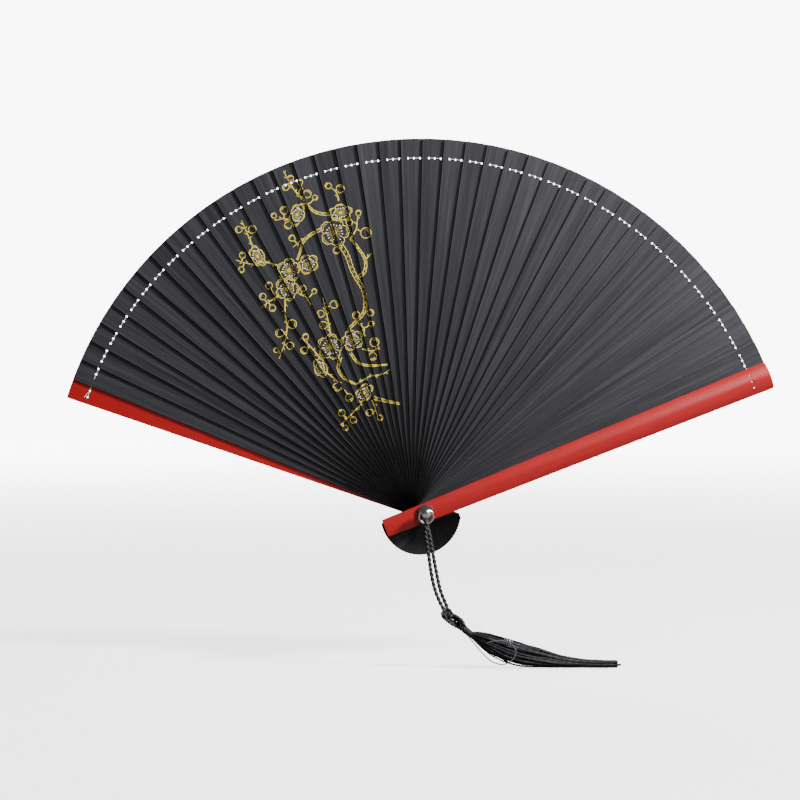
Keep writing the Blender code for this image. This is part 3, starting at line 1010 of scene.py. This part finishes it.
def branch(points, breadth):
    """Two wavering outlines with a few strokes of bark between them."""
    line = spline_points(points)
    stems.extend(line)
    count = len(line)
    for side in (-1, 1):
        edge = []
        for i in range(count):
            taper = 1.0 - 0.55 * i / count
            offset = side * breadth * 0.6 * taper * (1 + 0.2 * math.sin(1.9 * i + side))
            edge.append(beside(line, i, offset))
        ribbon(gold, edge, LINE)
    for i in range(1, count - 3, 4):
        ribbon(gold, [line[i], line[i + 1], line[i + 2]], LINE * 0.6)


FLOWERS = [(-41, 151, 5.6, 0.4, 0.72, 0.1), (-44, 141, 6.9, 0.1, 1.0, 0.0),
           (-63, 150, 5.8, 0.9, 0.60, 1.2), (-83, 129, 5.4, 0.5, 0.62, 2.1),
           (-67, 122, 5.5, 0.3, 1.0, 0.0), (-57.5, 125, 5.2, 0.8, 0.85, 0.6),
           (-68, 112.5, 5.7, 0.0, 1.0, 0.0), (-46, 83, 6.2, 0.2, 1.0, 0.0),
           (-35, 86.5, 5.4, 0.7, 0.9, 0.5), (-51, 72.5, 5.0, 0.1, 0.65, 1.9),
           (-29, 59.5, 5.2, 0.5, 0.66, 0.9)]
for x, z, size, turn, tilt, lean in FLOWERS:
    flower(x, z, size * 1.07, turn, tilt, lean)
    stems.append((x, z))

BRANCHES = [([(-41, 135), (-37.5, 129), (-35.5, 123), (-33, 118), (-30, 113), (-28.5, 107),
              (-29, 101), (-33, 96), (-37, 92)], 1.9),
            ([(-33, 118), (-29, 121), (-28.5, 127), (-32, 133), (-36, 138)], 1.2),
            ([(-50, 143), (-56, 140), (-60, 136), (-61.5, 131), (-63, 127)], 1.1),
            ([(-46, 150), (-53, 151), (-57, 154), (-60, 158)], 1.1),
            ([(-41, 78), (-42, 72), (-39, 67), (-33, 64)], 1.1),
            ([(-24, 57), (-18, 55.5), (-11, 54)], 1.2),
            ([(-36, 80), (-32, 75), (-26, 73.5), (-17, 74)], 0.9)]
for points, breadth in BRANCHES:
    branch(points, breadth)

TWIGS = [[(-60, 158), (-64, 162), (-67, 167), (-70, 172)], [(-57, 154), (-62, 160), (-61, 164)],
         [(-56, 140), (-61, 137), (-65, 133.5)], [(-28.5, 127), (-25.5, 130.5)],
         [(-36, 138), (-33, 143), (-32.5, 149)], [(-42, 157), (-43, 161), (-46, 164)],
         [(-72, 124), (-79, 126), (-86, 125), (-94, 127)], [(-85, 133), (-88, 140), (-91, 147)],
         [(-72, 109), (-77, 106), (-81, 103)], [(-62, 110), (-58, 108), (-56, 104)],
         [(-69, 107), (-69, 100), (-68, 94), (-69, 86), (-72, 77)],
         [(-46, 89), (-47, 95), (-48.5, 102), (-50, 108)], [(-51, 77), (-56, 83), (-61, 88)],
         [(-33, 96), (-29, 92), (-30, 88)], [(-30, 82), (-26, 81), (-21, 82)],
         [(-33, 64), (-26, 68), (-20, 69), (-16, 71.5)], [(-48, 70), (-43, 66), (-38, 60)],
         [(-30, 54), (-34, 50), (-38, 46), (-41, 43)], [(-25, 56), (-23, 51), (-22, 48)],
         [(-66, 147), (-70, 148), (-74, 147)]]
for points in TWIGS:
    twig(points)

BUDS = [(-66.3, 168.4, 1.5, -1.2), (-68.8, 163.8, 1.6, 0.2), (-61.5, 166.5, 1.3, -1.6),
        (-57.8, 160.5, 1.9, -2.2), (-53.8, 158.6, 1.2, 2.6), (-69.6, 152.3, 1.9, -0.9),
        (-67.6, 144.6, 1.8, 0.9), (-65.6, 138.2, 1.5, -0.6), (-47.3, 164.6, 1.5, -0.4),
        (-41.2, 163.2, 2.0, -1.8), (-28.2, 140.8, 2.6, -2.4), (-36.6, 146.2, 1.6, -1.4),
        (-43.0, 131.8, 1.6, 1.6), (-92.6, 142.4, 1.6, 0.2), (-85.6, 142.6, 1.9, -2.4),
        (-90.6, 129.6, 1.5, -1.4), (-91.2, 122.0, 1.4, 1.4), (-77.2, 114.2, 1.7, -0.9),
        (-80.4, 108.6, 1.6, -0.4), (-75.4, 102.6, 1.6, 1.9), (-60.0, 112.8, 1.5, -0.6),
        (-54.2, 111.4, 1.2, -1.9), (-65.4, 94.6, 2.2, 2.9), (-71.8, 90.0, 2.0, -0.3),
        (-66.4, 83.6, 1.8, 2.6), (-73.6, 81.4, 1.2, -0.6), (-44.2, 104.6, 1.9, -2.8),
        (-51.0, 99.8, 1.8, 0.2), (-49.6, 94.0, 1.9, 0.1), (-33.0, 99.0, 1.9, -0.6),
        (-25.8, 100.4, 1.6, -2.6), (-25.4, 94.8, 1.3, 2.9), (-58.6, 88.4, 1.4, -1.3),
        (-59.4, 81.2, 1.7, 0.9), (-23.8, 85.4, 2.2, -2.0), (-24.6, 78.2, 1.9, 1.9),
        (-42.6, 62.6, 2.0, 0.7), (-36.4, 57.2, 1.9, 1.9), (-40.2, 49.4, 1.7, -0.8),
        (-34.2, 45.6, 1.6, 1.7), (-38.2, 41.6, 1.4, 2.2), (-26.2, 49.6, 1.7, 0.3),
        (-20.8, 46.8, 1.3, 2.0), (-74.8, 149.6, 1.2, -0.8), (-32.0, 151.0, 1.3, -1.6)]
for x, z, size, angle in BUDS:
    bud(x, z, size, angle)

for shape in (gold, silver):
    bmesh.ops.scale(shape, vec=(MM, MM, MM), verts=shape.verts)

PRINT_THICKNESS = 0.03 * MM
EDGE_MARGIN = 0.12 * MM
FRONT_OVERLAP = 0.02 * MM           # the print ends this far past the edge in front of it


def cut_along(shape, index, inset, keep_left):
    """Cuts a print along a stick's left edge, or inset from it, and keeps one side."""
    near = on_stick(index, 0, half_width(0) - inset, 0)
    far = on_stick(index, REACH, half_width(REACH) - inset, 0)
    leftwards = (far - near).cross(Vector((0, 1, 0))).normalized()
    bmesh.ops.bisect_plane(shape, geom=shape.verts[:] + shape.edges[:] + shape.faces[:],
                           plane_co=near, plane_no=leftwards,
                           clear_outer=not keep_left, clear_inner=keep_left)


for index in range(1, RIBS + 1):
    for name, source, material in (("gold", gold, GOLD), ("silver", silver, SILVER)):
        shape = source.copy()
        cut_along(shape, index, EDGE_MARGIN, keep_left=False)
        cut_along(shape, index - 1, -FRONT_OVERLAP, keep_left=True)
        if not shape.faces:
            shape.free()
            continue
        raised = bmesh.ops.extrude_face_region(shape, geom=shape.faces[:])
        lifted = [e for e in raised["geom"] if isinstance(e, bmesh.types.BMVert)]
        bmesh.ops.translate(shape, vec=(0, -PRINT_THICKNESS, 0), verts=lifted)
        bmesh.ops.recalc_face_normals(shape, faces=shape.faces)
        bmesh.ops.translate(shape, vec=(0, layer_y(index) - RIB_THICKNESS / 2, 0),
                            verts=shape.verts)
        mesh = bpy.data.meshes.new(f"{name}_print_{index:02d}")
        shape.to_mesh(mesh)
        shape.free()
        add_piece(f"{name}_print_{index:02d}", mesh, material, body_name(index))
gold.free()
silver.free()


# ---- Floor, lights and camera ----
SEEN_BACKGROUND = 9.0               # strength of the white that the camera sees
AMBIENT = 0.06                      # and of what lights the fan
NEAR_GLOW = 2.4                     # the floor's own glow for the camera round the fan
GLOW_GROWS = (0.4, 3.2)             # distances between which it grows to the background's
BOUNCE = (0.09, 0.09, 0.09, 1.0)
CAMERA_DISTANCE = 1.0
CAMERA_AZIMUTH = math.radians(-5.7)
CAMERA_ELEVATION = math.radians(4.0)
AIM_YAW = math.radians(5.07)
AIM_PITCH = math.radians(-0.79)
SENSOR_WIDTH = 36                   # in millimetres, as is the focal length
FOCAL_LENGTH = 88.335


def paper():
    """Matt white paper that brightens into the white background with distance.

    It throws little light back, because the fan's own surroundings are dark.
    """
    material, tree, shader = new_material("studio_paper")
    cloud = noise(tree, mapped(tree), scale=3.0, detail=2.0, roughness=0.5)
    tint = ramp(tree, cloud, [(0.3, (0.40, 0.40, 0.40)), (0.7, (0.44, 0.44, 0.44))])
    seen = add_node(tree, "LightPath", {}).outputs["Is Camera Ray"]
    away = add_node(tree, "VectorMath", {0: mapped(tree)}, operation="LENGTH").outputs["Value"]
    glow = remap(tree, away, NEAR_GLOW, SEEN_BACKGROUND, *GLOW_GROWS, "SMOOTHSTEP")
    feed(tree, shader, {"Base Color": mix(tree, "MIX", seen, BOUNCE, tint), "Roughness": 0.9,
                        "Specular IOR Level": 0.1, "Emission Color": WHITE,
                        "Emission Strength": math_node(tree, "MULTIPLY", glow, seen)})
    return material


bpy.ops.mesh.primitive_plane_add(size=14, location=(0, 0, FLOOR_Z - 0.05 * MM))
floor = bpy.context.object
floor.name = "floor"
floor.data.materials.append(paper())

world = bpy.data.worlds.new("studio")
world.use_nodes = True
sky = world.node_tree
ambient = sky.nodes["Background"]
feed(sky, ambient, {"Color": WHITE, "Strength": AMBIENT})
seen = add_node(sky, "Background", {"Color": WHITE, "Strength": SEEN_BACKGROUND})
is_camera = add_node(sky, "LightPath", {}).outputs["Is Camera Ray"]
either = add_node(sky, "MixShader", {0: is_camera, 1: ambient.outputs["Background"],
                                     2: seen.outputs["Background"]})
feed(sky, sky.nodes["World Output"], {"Surface": either.outputs["Shader"]})
bpy.context.scene.world = world


def area_light(name, place, target, size, power):
    """A rectangular light that shines towards a target."""
    light = bpy.data.lights.new(name, "AREA")
    light.shape = "RECTANGLE"
    light.size, light.size_y = size
    light.energy = power
    lamp = placed(name, light)
    lamp.location = place
    lamp.rotation_euler = (Vector(target) - Vector(place)).to_track_quat("-Z", "Y").to_euler()


area_light("key_right", place=(0.90, -0.41, 0.72), target=(0, 0, 0.07), size=(0.15, 0.15),
           power=56)
area_light("soft_right", place=(0.47, -0.92, 0.56), target=(0.14, 0, 0.06),
           size=(0.34, 0.60), power=6)
area_light("back_light", place=(-0.8, 2.2, 1.5), target=(0, 0, 0.07), size=(1.6, 1.6),
           power=120)

camera_data = bpy.data.cameras.new("camera")
camera_data.sensor_width = SENSOR_WIDTH
camera_data.lens = FOCAL_LENGTH
camera_data.clip_start = 0.01
camera = placed("camera", camera_data)
camera.location = CAMERA_DISTANCE * Vector((
    math.sin(CAMERA_AZIMUTH) * math.cos(CAMERA_ELEVATION),
    -math.cos(CAMERA_AZIMUTH) * math.cos(CAMERA_ELEVATION), math.sin(CAMERA_ELEVATION)))
camera.rotation_euler = (math.radians(90) + AIM_PITCH, 0, -AIM_YAW)
bpy.context.scene.camera = camera
